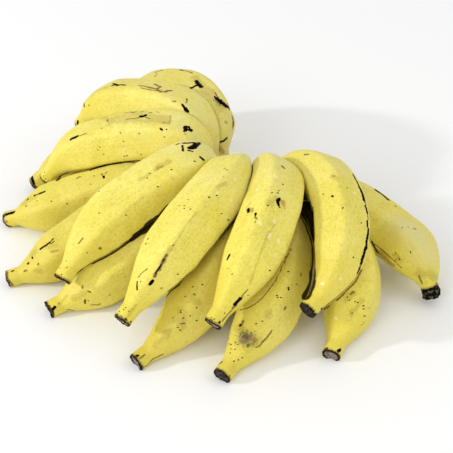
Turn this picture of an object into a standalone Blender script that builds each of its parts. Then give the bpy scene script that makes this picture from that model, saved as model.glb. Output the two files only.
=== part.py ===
"""A hand of fifteen short, thick bananas, resting on its finger tips as it was cut from the bunch.

Eight upper and seven lower fingers fan out of one crown. Each finger is lofted along its own
curved centre line, from a round stalk through a five-sided body to a round neck, and a dried
blossom end closes it. Neighbours that touch are pressed flat against each other.
"""

import bmesh
import bpy
import numpy as np
from mathutils import Matrix, Vector

MM = 0.001

# Root azimuth on the crown in degrees, then the shoulder, the middle, the start of the neck and
# the end of the centre line in mm from the crown's foot, then the girth radius and the length
# that it takes to taper into the neck in mm, and the ridges' roll in degrees.
FINGERS = {
    "upper_1": (118, (-14, 40, 60), (-42, 93, 59), (-80, 115, 36), (-98, 122, 14), 18.5, 45, 0),
    "upper_2": (138, (-25, 30, 65), (-83, 71, 64), (-106, 75, 57), (-120, 78, 40), 19.0, 36, 20),
    "upper_3": (162, (-28, 11, 66), (-89, 30, 58), (-127, 27, 44), (-142, 25, 27), 18.3, 40, 0),
    "upper_4": (195, (-22, -12, 66), (-67, -42, 62), (-104, -76, 44), (-116, -92, 32), 19.5, 47, 10),
    "upper_5": (225, (-1, -27, 68), (-33, -80, 62), (-60, -116, 43), (-73, -132, 33), 19.3, 54, 30),
    "upper_6": (260, (25, -35, 71), (17, -90, 66), (-3, -122, 47), (-15, -138, 36), 18.9, 51, 0),
    "upper_7": (300, (58, -31, 72), (69.5, -79, 63), (60, -111, 46), (45, -128, 38), 17.4, 46, 15),
    "upper_8": (335, (58, -20, 48), (109, -38, 27), (130, -71, 21), (136, -82, 6), 18.7, 30, 0),
    "lower_1": (150, (-34, 37, 34), (-102, 52, 25), (-144, 48, 16), (-156, 46, 6), 17.5, 34, 0),
    "lower_2": (172, (-40, 12, 34), (-112, 5, 26), (-155, 1, 12), (-171, 4, 5), 17.5, 31, 0),
    "lower_3": (197, (-40, -8, 34), (-106, -40, 26), (-144, -59, 10), (-160, -62, 5), 17.6, 34, 0),
    "lower_4": (220, (-29, -20, 33), (-79, -66, 25), (-109, -84, 10.5), (-128, -93, 5), 18.5, 36, 0),
    "lower_5": (245, (-2, -30, 36), (-18, -93, 28), (-48, -128, 10), (-65, -142, 5), 19.0, 52, 0),
    "lower_6": (275, (27, -36, 36), (28, -96, 28), (4, -135, 10), (-9.5, -154, 5), 19.2, 46, 0),
    "lower_7": (305, (54, -32, 36), (79, -87, 26), (69, -120, 10), (62, -136, 5), 19.0, 38, 0),
}

HAND_SHIFT = (16.0, 14.9, -1.0)
ROOT_HEIGHT = {"upper": 38.0, "lower": 22.0}

STALK_RADIUS = 6.8
STALK_LENGTH = 18.0
SHOULDER_LENGTH = 30.0
NECK_RADIUS = 6.2
NECK_LENGTH = 10.0
BODY_RIDGES = 5
BODY_SHARPNESS = 12.0
ROUND_SHARPNESS = 3.0

RINGS = 21
SIDES = 16
SPAN_SAMPLES = 23

BLOSSOM_LENGTH = 3.0
BLOSSOM_RADII = (6.4, 5.8)
BLOSSOM_SIDES = 12

CROWN_CENTRE = (0.0, 0.0, 27.0)
CROWN_HALF_SIZE = (24.0, 24.0, 17.0)
CROWN_CUT_AZIMUTH = 47.0
CROWN_CUT_DISTANCE = 11.0
CROWN_SEGMENTS = 28
CROWN_RINGS = 14

BLOSSOM_GAP = 0.4
CROWN_GAP = 0.9
PRESS_GAP = 0.035


def new_material(name, colour, roughness):
    """Principled material with a plain colour."""
    material = bpy.data.materials.new(name)
    material.use_nodes = True
    shader = material.node_tree.nodes["Principled BSDF"]
    shader.inputs["Base Color"].default_value = (*colour, 1.0)
    shader.inputs["Roughness"].default_value = roughness
    shader.inputs["Metallic"].default_value = 0.0
    return material


def ease(x):
    """Smooth step from 0 to 1."""
    x = np.clip(x, 0.0, 1.0)
    return x * x * (3.0 - 2.0 * x)


def natural_spline(knots):
    """Smooth curve through the knots, straight at both ends."""
    gaps = np.linalg.norm(np.diff(knots, axis=0), axis=1)
    slopes = np.diff(knots, axis=0) / gaps[:, None]
    inner = np.diag(2.0 * (gaps[:-1] + gaps[1:])) + np.diag(gaps[1:-1], 1) + np.diag(gaps[1:-1], -1)
    bend = np.zeros_like(knots)
    bend[1:-1] = np.linalg.solve(inner, 6.0 * np.diff(slopes, axis=0))
    curve = [knots[:1]]
    ahead = np.linspace(0.0, 1.0, SPAN_SAMPLES + 1)[1:, None]
    behind = 1.0 - ahead
    for i, gap in enumerate(gaps):
        sag = (behind**3 - behind) * bend[i] + (ahead**3 - ahead) * bend[i + 1]
        curve.append(behind * knots[i] + ahead * knots[i + 1] + sag * gap**2 / 6.0)
    return np.concatenate(curve)


def centre_line(name):
    """Curve from a finger's root on the crown to its end, with the distances along it."""
    azimuth, *knots = FINGERS[name][:5]
    angle = np.radians(azimuth)
    height = ROOT_HEIGHT[name.split("_")[0]] - CROWN_CENTRE[2]
    reach = CROWN_HALF_SIZE[0] * np.sqrt(1.0 - (height / CROWN_HALF_SIZE[2]) ** 2)
    root = np.array(CROWN_CENTRE) + (reach * np.cos(angle), reach * np.sin(angle), height)
    line = natural_spline(np.array([root, *knots])) + HAND_SHIFT
    steps = np.linalg.norm(np.diff(line, axis=0), axis=1)
    return line, np.concatenate([[0.0], np.cumsum(steps)])


def girth(along, total, radius, taper):
    """Radius along a finger: a thin stalk, a slightly barrelled body and a short neck."""
    body = radius * (1.0 - 0.06 * (2.0 * along / total - 1.1) ** 2)
    rise = ease((along - STALK_LENGTH) / SHOULDER_LENGTH) ** 0.6
    fall = ease((total - NECK_LENGTH - along) / taper) ** 0.58
    from_stalk = STALK_RADIUS + (body - STALK_RADIUS) * rise
    from_neck = NECK_RADIUS + (body - NECK_RADIUS) * fall
    return np.minimum(from_stalk, from_neck)


def cross_axes(line):
    """Directions along, up and across the line, carried from point to point without twist."""
    ahead = np.gradient(line, axis=0)
    ahead /= np.linalg.norm(ahead, axis=1)[:, None]
    up = np.zeros_like(line)
    last = np.array([0.0, 0.0, 1.0])
    for i, direction in enumerate(ahead):
        last = last - direction * (last @ direction)
        last /= np.linalg.norm(last)
        up[i] = last
    return ahead, up, np.cross(ahead, up)


def section(angles, sharpness):
    """Outline of a rounded pentagon as a share of its mean radius."""
    flats = np.arange(BODY_RIDGES) * 2.0 * np.pi / BODY_RIDGES
    facing = np.maximum(0.0, np.cos(angles[..., None] - flats))
    outline = (facing ** sharpness[..., None]).sum(-1) ** (-1.0 / sharpness)
    return outline / outline.mean(1, keepdims=True)


def at(along, distance, values):
    """Values of the line at some distances along it."""
    return np.stack([np.interp(along, distance, column) for column in values.T], axis=1)


def finger_grid(name):
    """Rings of the free finger, their centres and the finger's field, for the pressing."""
    line, distance = centre_line(name)
    radius, taper, roll = FINGERS[name][5:]
    total = distance[-1]
    _, up, across = cross_axes(line)
    along = np.linspace(0.0, total - BLOSSOM_LENGTH - BLOSSOM_GAP, RINGS)
    angles = np.linspace(0.0, 2.0 * np.pi, SIDES, endpoint=False)[None, :]
    size = girth(along, total, radius, taper)
    fullness = (size - NECK_RADIUS) / (radius - NECK_RADIUS)
    sharpness = ROUND_SHARPNESS + (BODY_SHARPNESS - ROUND_SHARPNESS) * ease(fullness)
    outline = section(angles - np.radians(roll) + 0.0 * along[:, None], sharpness[:, None] + 0.0 * angles)
    reach = (size[:, None] * outline)[..., None]
    up, across = at(along, distance, up)[:, None], at(along, distance, across)[:, None]
    turn = angles[..., None]
    centres = at(along, distance, line)[:, None]
    rings = centres + reach * (np.cos(turn) * up + np.sin(turn) * across)
    return rings, centres, (line, girth(distance, total, radius, taper))


def field(points, line, radii):
    """Distance from a finger's centre line as a share of its radius there."""
    apart = np.linalg.norm(points[..., None, :] - line, axis=-1)
    return (apart / radii).min(-1)


def press(name, grids):
    """Pulls the rings in where a neighbour's field is the lower one, so both share a flat contact."""
    rings, centres, own = grids[name]
    spokes = rings - centres
    others = [grids[other][2] for other in grids if other != name]
    low, high = np.zeros(rings.shape[:2]), np.ones(rings.shape[:2])
    for _ in range(9):
        middle = (low + high) / 2.0
        points = centres + spokes * middle[..., None]
        nearest = np.min([field(points, *other) for other in others], axis=0)
        clear = nearest - field(points, *own) > 2.0 * PRESS_GAP
        low, high = np.where(clear, middle, low), np.where(clear, high, middle)
    return centres + spokes * low[..., None]


def clear_of_crown(points, least):
    """Pushes points straight out from the crown's centre, to least times the crown's size."""
    centre = np.array(CROWN_CENTRE) + HAND_SHIFT
    half = np.array(CROWN_HALF_SIZE) + CROWN_GAP
    depth = np.linalg.norm((points - centre) / half, axis=-1)[..., None]
    return centre + (points - centre) * np.maximum(1.0, least / depth)


def seat(rings):
    """Starts the rings on the crown, keeps the rest clear of it and none below the surface."""
    least = np.minimum(1.0 + 0.04 * np.arange(len(rings)), 1.2)
    rings = clear_of_crown(rings, least[:, None, None])
    rings[..., 2] = np.maximum(rings[..., 2], 0.0)
    return rings


def loft(name, rings, collection, material):
    """Closed body from rings of equal length, with a fan of faces over each end."""
    mesh = bmesh.new()
    loops = [[mesh.verts.new(point * MM) for point in ring] for ring in rings]
    for here, ahead in zip(loops, loops[1:]):
        for i in range(SIDES):
            j = (i + 1) % SIDES
            mesh.faces.new((here[i], here[j], ahead[j], ahead[i]))
    hubs = (clear_of_crown(rings[0].mean(0), 1.0), rings[-1].mean(0))
    for loop, hub in zip((loops[0][::-1], loops[-1]), hubs):
        middle = mesh.verts.new(hub * MM)
        for i in range(SIDES):
            mesh.faces.new((loop[i], loop[(i + 1) % SIDES], middle))
    bmesh.ops.recalc_face_normals(mesh, faces=mesh.faces)
    return finish(name, mesh, collection, material)


def finish(name, mesh, collection, material):
    """Turns a bmesh into a named, smooth-shaded object of the collection."""
    data = bpy.data.meshes.new(name)
    mesh.to_mesh(data)
    mesh.free()
    data.shade_smooth()
    data.set_sharp_from_angle(angle=np.radians(40.0))
    data.materials.append(material)
    thing = bpy.data.objects.new(name, data)
    collection.objects.link(thing)
    return thing


def make_blossom_end(name, collection, material):
    """Dried blossom end: a short cone frustum that carries on from the finger's neck."""
    line, distance = centre_line(name)
    ahead = cross_axes(line)[0][-1]
    turn = Vector((0.0, 0.0, 1.0)).rotation_difference(Vector(ahead)).to_matrix().to_4x4()
    centre = line[-1] - ahead * BLOSSOM_LENGTH / 2.0
    mesh = bmesh.new()
    bmesh.ops.create_cone(
        mesh,
        cap_ends=True,
        segments=BLOSSOM_SIDES,
        radius1=BLOSSOM_RADII[0] * MM,
        radius2=BLOSSOM_RADII[1] * MM,
        depth=BLOSSOM_LENGTH * MM,
        matrix=Matrix.Translation(Vector(centre * MM)) @ turn,
    )
    for vertex in mesh.verts:
        vertex.co.z = max(vertex.co.z, 0.0)
    finish(name.replace("_", "_blossom_end_"), mesh, collection, material)


def make_crown(collection, cutters, material):
    """Cushion that the stalks grow from, cut flat where the knife took the hand off the bunch."""
    centre = Vector(CROWN_CENTRE) + Vector(HAND_SHIFT)
    size = Matrix.Diagonal((*CROWN_HALF_SIZE, 1.0))
    mesh = bmesh.new()
    bmesh.ops.create_uvsphere(
        mesh,
        u_segments=CROWN_SEGMENTS,
        v_segments=CROWN_RINGS,
        radius=MM,
        matrix=Matrix.Translation(centre * MM) @ size,
    )
    crown = finish("crown", mesh, collection, material)

    reach = 4.0 * CROWN_HALF_SIZE[0]
    block = bmesh.new()
    bmesh.ops.create_cube(block, size=reach * MM)
    knife = finish("crown_cutter", block, cutters, material)
    angle = np.radians(CROWN_CUT_AZIMUTH)
    away = Vector((np.cos(angle), np.sin(angle), 0.0))
    knife.location = (centre + away * (CROWN_CUT_DISTANCE + reach / 2.0)) * MM
    knife.rotation_euler.z = angle
    knife.hide_render = True
    knife.display_type = "WIRE"
    cut = crown.modifiers.new("knife cut", "BOOLEAN")
    cut.object = knife
    cut.operation = "DIFFERENCE"


def main():
    for thing in list(bpy.data.objects):
        bpy.data.objects.remove(thing, do_unlink=True)
    collection = bpy.data.collections.new("banana_hand")
    cutters = bpy.data.collections.new("cutters")
    for group in (collection, cutters):
        bpy.context.scene.collection.children.link(group)
    cutters.hide_render = True

    make_crown(collection, cutters, new_material("crown", (0.33, 0.22, 0.06), 0.7))
    grids = {name: finger_grid(name) for name in FINGERS}
    for name in FINGERS:
        node = name.replace("_", "_finger_")
        rings = seat(press(name, grids))
        loft(node, rings, collection, new_material(node, (0.80, 0.66, 0.10), 0.45))
        dried = new_material(node.replace("finger", "blossom_end"), (0.04, 0.03, 0.02), 0.85)
        make_blossom_end(name, collection, dried)


main()
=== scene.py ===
"""Looks of a hand of fifteen short, thick, ripe bananas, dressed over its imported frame.

The sections follow the hand as it grew: the place it lies in, the fingers, their marks, their
peel, the dried blossom ends and the crown.
"""

import bpy
import numpy as np
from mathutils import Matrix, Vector


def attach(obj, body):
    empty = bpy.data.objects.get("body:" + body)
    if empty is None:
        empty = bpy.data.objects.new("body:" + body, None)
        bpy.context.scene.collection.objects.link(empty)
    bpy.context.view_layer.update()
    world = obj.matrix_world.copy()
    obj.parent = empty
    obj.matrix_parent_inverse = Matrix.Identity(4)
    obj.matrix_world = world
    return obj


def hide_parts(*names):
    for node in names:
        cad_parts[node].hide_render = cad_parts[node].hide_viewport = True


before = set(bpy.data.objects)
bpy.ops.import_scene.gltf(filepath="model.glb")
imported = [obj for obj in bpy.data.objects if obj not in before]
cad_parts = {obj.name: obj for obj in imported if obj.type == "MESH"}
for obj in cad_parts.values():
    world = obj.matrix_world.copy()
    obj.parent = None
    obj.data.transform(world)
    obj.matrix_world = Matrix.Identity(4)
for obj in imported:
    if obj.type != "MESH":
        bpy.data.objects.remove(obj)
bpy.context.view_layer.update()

# The camera stands where the photographer stood: in front of the hand and well above it.
# It looks a little left of the crown, because most of the fingers lie that way.
CAMERA_DISTANCE = 0.760
CAMERA_ELEVATION = np.radians(40.0)
CAMERA_LENS = 85.0
CAMERA_TARGET = np.array([0.0100, -0.0191, 0.029])
PHOTO_SIZE = 453

back = np.array([0.0, -np.cos(CAMERA_ELEVATION), np.sin(CAMERA_ELEVATION)])
camera_place = CAMERA_TARGET + back * CAMERA_DISTANCE
camera = bpy.data.objects.new("camera", bpy.data.cameras.new("camera"))
camera.data.lens = CAMERA_LENS
camera.data.clip_start = 0.05
camera.data.clip_end = 20.0
camera.location = camera_place
camera.rotation_mode = "QUATERNION"
camera.rotation_quaternion = Vector(-back).to_track_quat("-Z", "Y")
bpy.context.scene.collection.objects.link(camera)
bpy.context.scene.camera = camera

# A pale table top under soft studio light: a white room, a lamp low on the left that throws
# each finger's shadow on the next, and weaker ones in front and on the right that open them.
TABLE_HALF_SIZE = 6.0
TABLE_WHITE = 0.93
TABLE_ROUGHNESS = 0.9
# Azimuth and elevation in degrees, size in metres and power in watts.
LAMPS = {
    "key_lamp": (192.0, 25.0, 0.12, 14.5),
    "front_lamp": (236.0, 36.0, 0.80, 6.5),
    "fill_lamp": (345.0, 38.0, 0.90, 3.7),
}
LAMP_DISTANCE = 2.0
ROOM_STRENGTH = 0.79


def new_finish(name):
    """An unpainted finish: the material, its tree and the shader that its looks go into."""
    material = bpy.data.materials.new(name)
    material.use_nodes = True
    return material, material.node_tree, material.node_tree.nodes["Principled BSDF"]


table = bpy.data.meshes.new("table_top")
side = TABLE_HALF_SIZE
corners = [(-side, -side, 0), (side, -side, 0), (side, side, 0), (-side, side, 0)]
table.from_pydata(corners, [], [(0, 1, 2, 3)])
table_paint, _, shader = new_finish("table_paint")
shader.inputs["Base Color"].default_value = (TABLE_WHITE, TABLE_WHITE, TABLE_WHITE, 1.0)
shader.inputs["Roughness"].default_value = TABLE_ROUGHNESS
table.materials.append(table_paint)
table_top = bpy.data.objects.new("table_top", table)
bpy.context.scene.collection.objects.link(table_top)

for name, (azimuth, elevation, size, power) in LAMPS.items():
    azimuth, elevation = np.radians(azimuth), np.radians(elevation)
    level = np.cos(elevation)
    towards = np.array([level * np.cos(azimuth), level * np.sin(azimuth), np.sin(elevation)])
    lamp = bpy.data.objects.new(name, bpy.data.lights.new(name, "AREA"))
    lamp.data.size = size
    lamp.data.energy = power
    lamp.location = towards * LAMP_DISTANCE
    lamp.rotation_mode = "QUATERNION"
    lamp.rotation_quaternion = Vector(towards).to_track_quat("Z", "Y")
    bpy.context.scene.collection.objects.link(lamp)

room = bpy.data.worlds.new("room")
room.use_nodes = True
room.node_tree.nodes["Background"].inputs["Color"].default_value = (1.0, 1.0, 1.0, 1.0)
room.node_tree.nodes["Background"].inputs["Strength"].default_value = ROOM_STRENGTH
bpy.context.scene.world = room
bpy.context.scene.view_settings.view_transform = "Standard"

# The fingers: fruits of the short, thick kind, each grown from the crown on its own stalk, over a
# shoulder and out in a bow. The peel has five soft ridges, fades to round at the stalk and at the
# neck, and is pressed flat where two fruits grew against each other.
# Root azimuth on the crown in degrees, then the shoulder, the middle, the start of the neck and
# the end of the centre line in mm from the crown's foot, then the girth radius and the length
# that it takes to taper into the neck in mm, and the ridges' roll in degrees.
FINGERS = {
    "upper_1": (118, (-14, 40, 60), (-42, 93, 59), (-80, 115, 36), (-98, 122, 14), 18.5, 45, 0),
    "upper_2": (138, (-25, 30, 65), (-83, 71, 64), (-106, 75, 57), (-120, 78, 40), 19.0, 36, 20),
    "upper_3": (162, (-28, 11, 66), (-89, 30, 58), (-127, 27, 44), (-142, 25, 27), 18.3, 40, 0),
    "upper_4": (195, (-22, -12, 66), (-67, -42, 62), (-104, -76, 44), (-116, -92, 32), 19.5, 47, 10),
    "upper_5": (225, (-1, -27, 68), (-33, -80, 62), (-60, -116, 43), (-73, -132, 33), 19.3, 54, 30),
    "upper_6": (260, (25, -35, 71), (17, -90, 66), (-3, -122, 47), (-15, -138, 36), 18.9, 51, 0),
    "upper_7": (300, (58, -31, 72), (69.5, -79, 63), (60, -111, 46), (45, -128, 38), 17.4, 46, 15),
    "upper_8": (335, (58, -20, 48), (109, -38, 27), (130, -71, 21), (136, -82, 6), 18.7, 30, 0),
    "lower_1": (150, (-34, 37, 34), (-102, 52, 25), (-144, 48, 16), (-156, 46, 6), 17.5, 34, 0),
    "lower_2": (172, (-40, 12, 34), (-112, 5, 26), (-155, 1, 12), (-171, 4, 5), 17.5, 31, 0),
    "lower_3": (197, (-40, -8, 34), (-106, -40, 26), (-144, -59, 10), (-160, -62, 5), 17.6, 34, 0),
    "lower_4": (220, (-29, -20, 33), (-79, -66, 25), (-109, -84, 10.5), (-128, -93, 5), 18.5, 36, 0),
    "lower_5": (245, (-2, -30, 36), (-18, -93, 28), (-48, -128, 10), (-65, -142, 5), 19.0, 52, 0),
    "lower_6": (275, (27, -36, 36), (28, -96, 28), (4, -135, 10), (-9.5, -154, 5), 19.2, 46, 0),
    "lower_7": (305, (54, -32, 36), (79, -87, 26), (69, -120, 10), (62, -136, 5), 19.0, 38, 0),
}
MM = 0.001
HAND_SHIFT = (16.0, 14.9, -1.0)
ROOT_HEIGHT = {"upper": 38.0, "lower": 22.0}
CROWN_CENTRE = (0.0, 0.0, 27.0)
CROWN_HALF_SIZE = (24.0, 24.0, 17.0)
STALK_RADIUS = 6.8
STALK_LENGTH = 18.0
SHOULDER_LENGTH = 30.0
SHOULDER_POWER = 0.6
NECK_RADIUS = 6.2
NECK_LENGTH = 10.0
NECK_POWER = 0.58
# The body is fullest at this share of the length, and is thinner by about this share at its ends.
FULLEST = 0.55
BARREL = 0.06
BODY_RIDGES = 5
BODY_SHARPNESS = 9.5
ROUND_SHARPNESS = 4.5
RIDGE_POWER = 24
BLOSSOM_LENGTH = 3.0
RIM_LENGTH = 1.2
LINE_STEPS = 23
PEEL_RINGS = 200
PEEL_SIDES = 130
# The slow swellings of the skin: waves along the finger and lobes round it, up to this many mm.
SWELLINGS = ((2, 2), (3, 1), (5, 3), (8, 2), (11, 5))
SWELL = 0.35
# A seeded wave is shifted by up to this many radians.
MOST_PHASE = 6.28
# The dried necks that have shrivelled: the dry length in mm, and how much they have, as a share.
SHRIVELLED = {"upper_8": (8.0, 0.16)}
# The wrinkles' count round the neck, with their slant in radians for each mm along it. Then their
# depth and the pinch at the neck's end, for a share of 1, and the mm in which both come in.
WRINKLES = ((3.0, 0.7), (7.0, -0.9))
WRINKLE_DEPTH = 0.35
PINCH = 0.25
DRY_FADE = 3.0
# In radii: how near a neighbour has to come to be looked at, half of the gap that stays between
# two pressed fingers, and how wide the crevice beside it is.
NEAR = 2.6
PRESS_GAP = 0.006
CREVICE = 0.15
PRESS_HALVINGS = 10


def ease(x):
    """Smooth step from 0 to 1: three times the square less twice the cube."""
    x = np.clip(x, 0.0, 1.0)
    return x * x * (3.0 - 2.0 * x)


def natural_spline(knots, samples):
    """Smooth curve through the knots, straight at both ends.

    Each stretch is the straight line between its knots plus a cubic that carries the bend.
    """
    gaps = np.linalg.norm(np.diff(knots, axis=0), axis=1)
    slopes = np.diff(knots, axis=0) / gaps[:, None]
    inner = np.diag(2.0 * (gaps[:-1] + gaps[1:])) + np.diag(gaps[1:-1], 1) + np.diag(gaps[1:-1], -1)
    bend = np.zeros_like(knots)
    bend[1:-1] = np.linalg.solve(inner, 6.0 * np.diff(slopes, axis=0))
    curve = [knots[:1]]
    ahead = np.linspace(0.0, 1.0, samples + 1)[1:, None]
    behind = 1.0 - ahead
    for i, gap in enumerate(gaps):
        sag = (behind**3 - behind) * bend[i] + (ahead**3 - ahead) * bend[i + 1]
        curve.append(behind * knots[i] + ahead * knots[i + 1] + sag * gap**2 / 6.0)
    return np.concatenate(curve)


def centre_line(name):
    """Curve from a finger's root on the crown to its end in mm, with the distances along it."""
    azimuth, *knots = FINGERS[name][:5]
    angle = np.radians(azimuth)
    height = ROOT_HEIGHT[name.split("_")[0]] - CROWN_CENTRE[2]
    reach = CROWN_HALF_SIZE[0] * np.sqrt(1.0 - (height / CROWN_HALF_SIZE[2]) ** 2)
    root = np.array(CROWN_CENTRE) + (reach * np.cos(angle), reach * np.sin(angle), height)
    line = natural_spline(np.array([root, *knots]), LINE_STEPS) + HAND_SHIFT
    steps = np.linalg.norm(np.diff(line, axis=0), axis=1)
    return line, np.concatenate([[0.0], np.cumsum(steps)])


def girth(along, total, radius, taper):
    """Radius along a finger: a thin stalk, a slightly barrelled body and a short neck.

    It is the lesser of two eased rises to the body's radius, one from each end. The body's own
    radius falls off with the square of the distance from its fullest place.
    """
    body = radius * (1.0 - BARREL * (2.0 * along / total - 2.0 * FULLEST) ** 2)
    rise = ease((along - STALK_LENGTH) / SHOULDER_LENGTH) ** SHOULDER_POWER
    fall = ease((total - NECK_LENGTH - along) / taper) ** NECK_POWER
    from_stalk = STALK_RADIUS + (body - STALK_RADIUS) * rise
    from_neck = NECK_RADIUS + (body - NECK_RADIUS) * fall
    return np.minimum(from_stalk, from_neck)


def cross_axes(line):
    """Directions along, up and across the line, carried from point to point without twist."""
    ahead = np.gradient(line, axis=0)
    ahead /= np.linalg.norm(ahead, axis=1)[:, None]
    up = np.zeros_like(line)
    last = np.array([0.0, 0.0, 1.0])
    for i, direction in enumerate(ahead):
        last = last - direction * (last @ direction)
        last /= np.linalg.norm(last)
        up[i] = last
    return ahead, up, np.cross(ahead, up)


def section(angles, sharpness):
    """Outline of a rounded pentagon as a share of its mean radius.

    How squarely each flat faces the angle is raised to the sharpness, the five are summed, and
    the sum is brought back by the same power and turned over.
    """
    flats = np.arange(BODY_RIDGES) * 2.0 * np.pi / BODY_RIDGES
    facing = np.maximum(0.0, np.cos(angles[..., None] - flats))
    outline = (facing ** sharpness[..., None]).sum(-1) ** (-1.0 / sharpness)
    return outline / outline.mean(1, keepdims=True)


def at(along, distance, values):
    """Values of the line at some distances along it, straight from one of its points to the next."""
    return np.stack([np.interp(along, distance, column) for column in values.T], axis=1)


def spokes(reach, turn, up, across):
    """Steps out from a centre line: the reach, turned from up towards across."""
    return reach[..., None] * (np.cos(turn)[..., None] * up + np.sin(turn)[..., None] * across)


def straightened(reach, turn, along):
    """The same steps on a straight, upright finger, where the skin's patterns are laid out."""
    reach, turn, along = np.broadcast_arrays(reach, turn, along)
    return np.stack([reach * np.cos(turn), reach * np.sin(turn), along], axis=-1)


def peel_grid(name, seed):
    """Rings of the free finger: its girth times its outline, plus slow swellings made of sines.

    Gives the rings, their centres, each point's place on the straightened finger and how far it
    stands on a ridge, and the centre line with its radii.
    """
    line, distance = centre_line(name)
    radius, taper, roll = FINGERS[name][5:]
    total = distance[-1]
    along, turn = np.meshgrid(
        np.linspace(0.0, total - RIM_LENGTH, PEEL_RINGS),
        np.linspace(0.0, 2.0 * np.pi, PEEL_SIDES, endpoint=False),
        indexing="ij",
    )
    size = girth(along, total, radius, taper)
    fullness = (size - NECK_RADIUS) / (radius - NECK_RADIUS)
    sharpness = ROUND_SHARPNESS + (BODY_SHARPNESS - ROUND_SHARPNESS) * ease(fullness)
    facing = turn - np.radians(roll)
    draw = np.random.default_rng(seed)
    swell = np.zeros_like(turn)
    for waves, lobes in SWELLINGS:
        lengthwise = 2.0 * np.pi * waves * along / total + draw.uniform(0.0, MOST_PHASE)
        round_it = lobes * turn + draw.uniform(0.0, MOST_PHASE)
        swell += np.sin(lengthwise) * np.sin(round_it) / np.sqrt(waves)
    reach = size * section(facing, sharpness) + SWELL * swell * ease(fullness)
    dry_length, wrinkle = SHRIVELLED.get(name, (1.0, 0.0))
    dry = ease((along - total + dry_length) / DRY_FADE)
    folds = sum(np.sin(count * turn + slant * along) for count, slant in WRINKLES)
    pinched = PINCH * ease((along - total + DRY_FADE) / DRY_FADE)
    reach *= 1.0 + wrinkle * dry * (WRINKLE_DEPTH * folds - pinched)
    _, up, across = cross_axes(line)
    centres, up, across = (at(along[:, 0], distance, values)[:, None] for values in (line, up, across))
    rings = centres + spokes(reach, turn, up, across)
    ridge = np.maximum(0.0, -np.cos(BODY_RIDGES * facing)) ** RIDGE_POWER * ease(2.0 * fullness)
    own = (line, girth(distance, total, radius, taper))
    return rings, centres, straightened(reach, turn, along), ridge, own


def field(points, line, radii):
    """Distance from a finger's centre line over its radius there, the least along the line."""
    apart = np.linalg.norm(points[..., None, :] - line, axis=-1)
    return (apart / radii).min(-1)


def press(rings, centres, own, others):
    """Pulls in each point that lies near a neighbour, so that the two share one flat contact.

    The pull fades out over the crevice's width, which rounds the skin into the gap. Also gives
    how deep in the crevice each point lies, from 0 at its lip to 1 where the fingers touch.
    """
    near = [other for other in others if field(own[0][::3], *other).min() < NEAR]
    clear = np.min([field(rings, *other) for other in near], axis=0) - field(rings, *own)
    clear -= 2.0 * PRESS_GAP
    squeezed = clear < CREVICE
    hub = np.broadcast_to(centres, rings.shape)[squeezed]
    spoke = rings[squeezed] - hub
    wanted = 2.0 * PRESS_GAP + np.maximum(clear[squeezed] + CREVICE, 0.0) ** 2 / (4.0 * CREVICE)
    low, high = np.zeros(len(hub)), np.ones(len(hub))
    for _ in range(PRESS_HALVINGS):
        middle = (low + high) / 2.0
        points = hub + spoke * middle[:, None]
        nearest = np.min([field(points, *other) for other in near], axis=0)
        free = nearest - field(points, *own) > wanted
        low, high = np.where(free, middle, low), np.where(free, high, middle)
    pressed = rings.copy()
    pressed[squeezed] = hub + spoke * low[:, None]
    return pressed, np.clip(0.5 - clear / (2.0 * CREVICE), 0.0, 1.0)


def closed_tube(name, rings, material):
    """Object in metres from rings of points in mm, each end closed by a fan round its middle."""
    count, sides = rings.shape[:2]
    hubs = np.stack([rings[0].mean(0), rings[-1].mean(0)])
    points = np.concatenate([rings.reshape(-1, 3), hubs]) * MM
    here = np.arange(sides)
    after = (here + 1) % sides
    step = sides * np.arange(count - 1)[:, None]
    quads = np.stack([step + here, step + after, step + sides + after, step + sides + here], axis=-1)
    start = np.stack([after, here, np.full(sides, count * sides)], axis=-1)
    last = (count - 1) * sides
    stop = np.stack([last + here, last + after, np.full(sides, count * sides + 1)], axis=-1)
    mesh = bpy.data.meshes.new(name)
    mesh.from_pydata(points, [], quads.reshape(-1, 4).tolist() + start.tolist() + stop.tolist())
    mesh.shade_smooth()
    mesh.materials.append(material)
    thing = bpy.data.objects.new(name, mesh)
    bpy.context.scene.collection.objects.link(thing)
    return thing


def write_attribute(thing, name, values):
    """Stores one number or vector for each point of the rings, and its mean at the two hubs."""
    hubs = values[[0, -1]].mean(1)
    kind, key = ("FLOAT", "value") if values.ndim == 2 else ("FLOAT_VECTOR", "vector")
    flat = np.concatenate([values.ravel(), hubs.ravel()]).astype(np.float32)
    thing.data.attributes.new(name, kind, "POINT").data.foreach_set(key, flat)


grown = {name: peel_grid(name, seed) for seed, name in enumerate(FINGERS)}
peels, depths = {}, {}
for name, (rings, centres, _, _, own) in grown.items():
    others = [grown[other][4] for other in FINGERS if other != name]
    peels[name], depths[name] = press(rings, centres, own, others)
    peels[name][..., 2] = np.maximum(peels[name][..., 2], 0.0)

# The marks on the peel: black scars where the skin rubbed through on the plant, brown and rusty
# scratches, soft scuffs, a hazy bloom of wax that is partly a painted sheen, bruises, drops of pale
# wax, and painted shade in the crevices between fingers, where a few brown, rust and soft strokes
# are painted shade too. Each is placed by the pixels of the photograph that it runs through.
MARK_KINDS = ("black", "brown", "rust", "soft", "bloom_and_painted_sheen", "bruise", "pale", "crevice")
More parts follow.
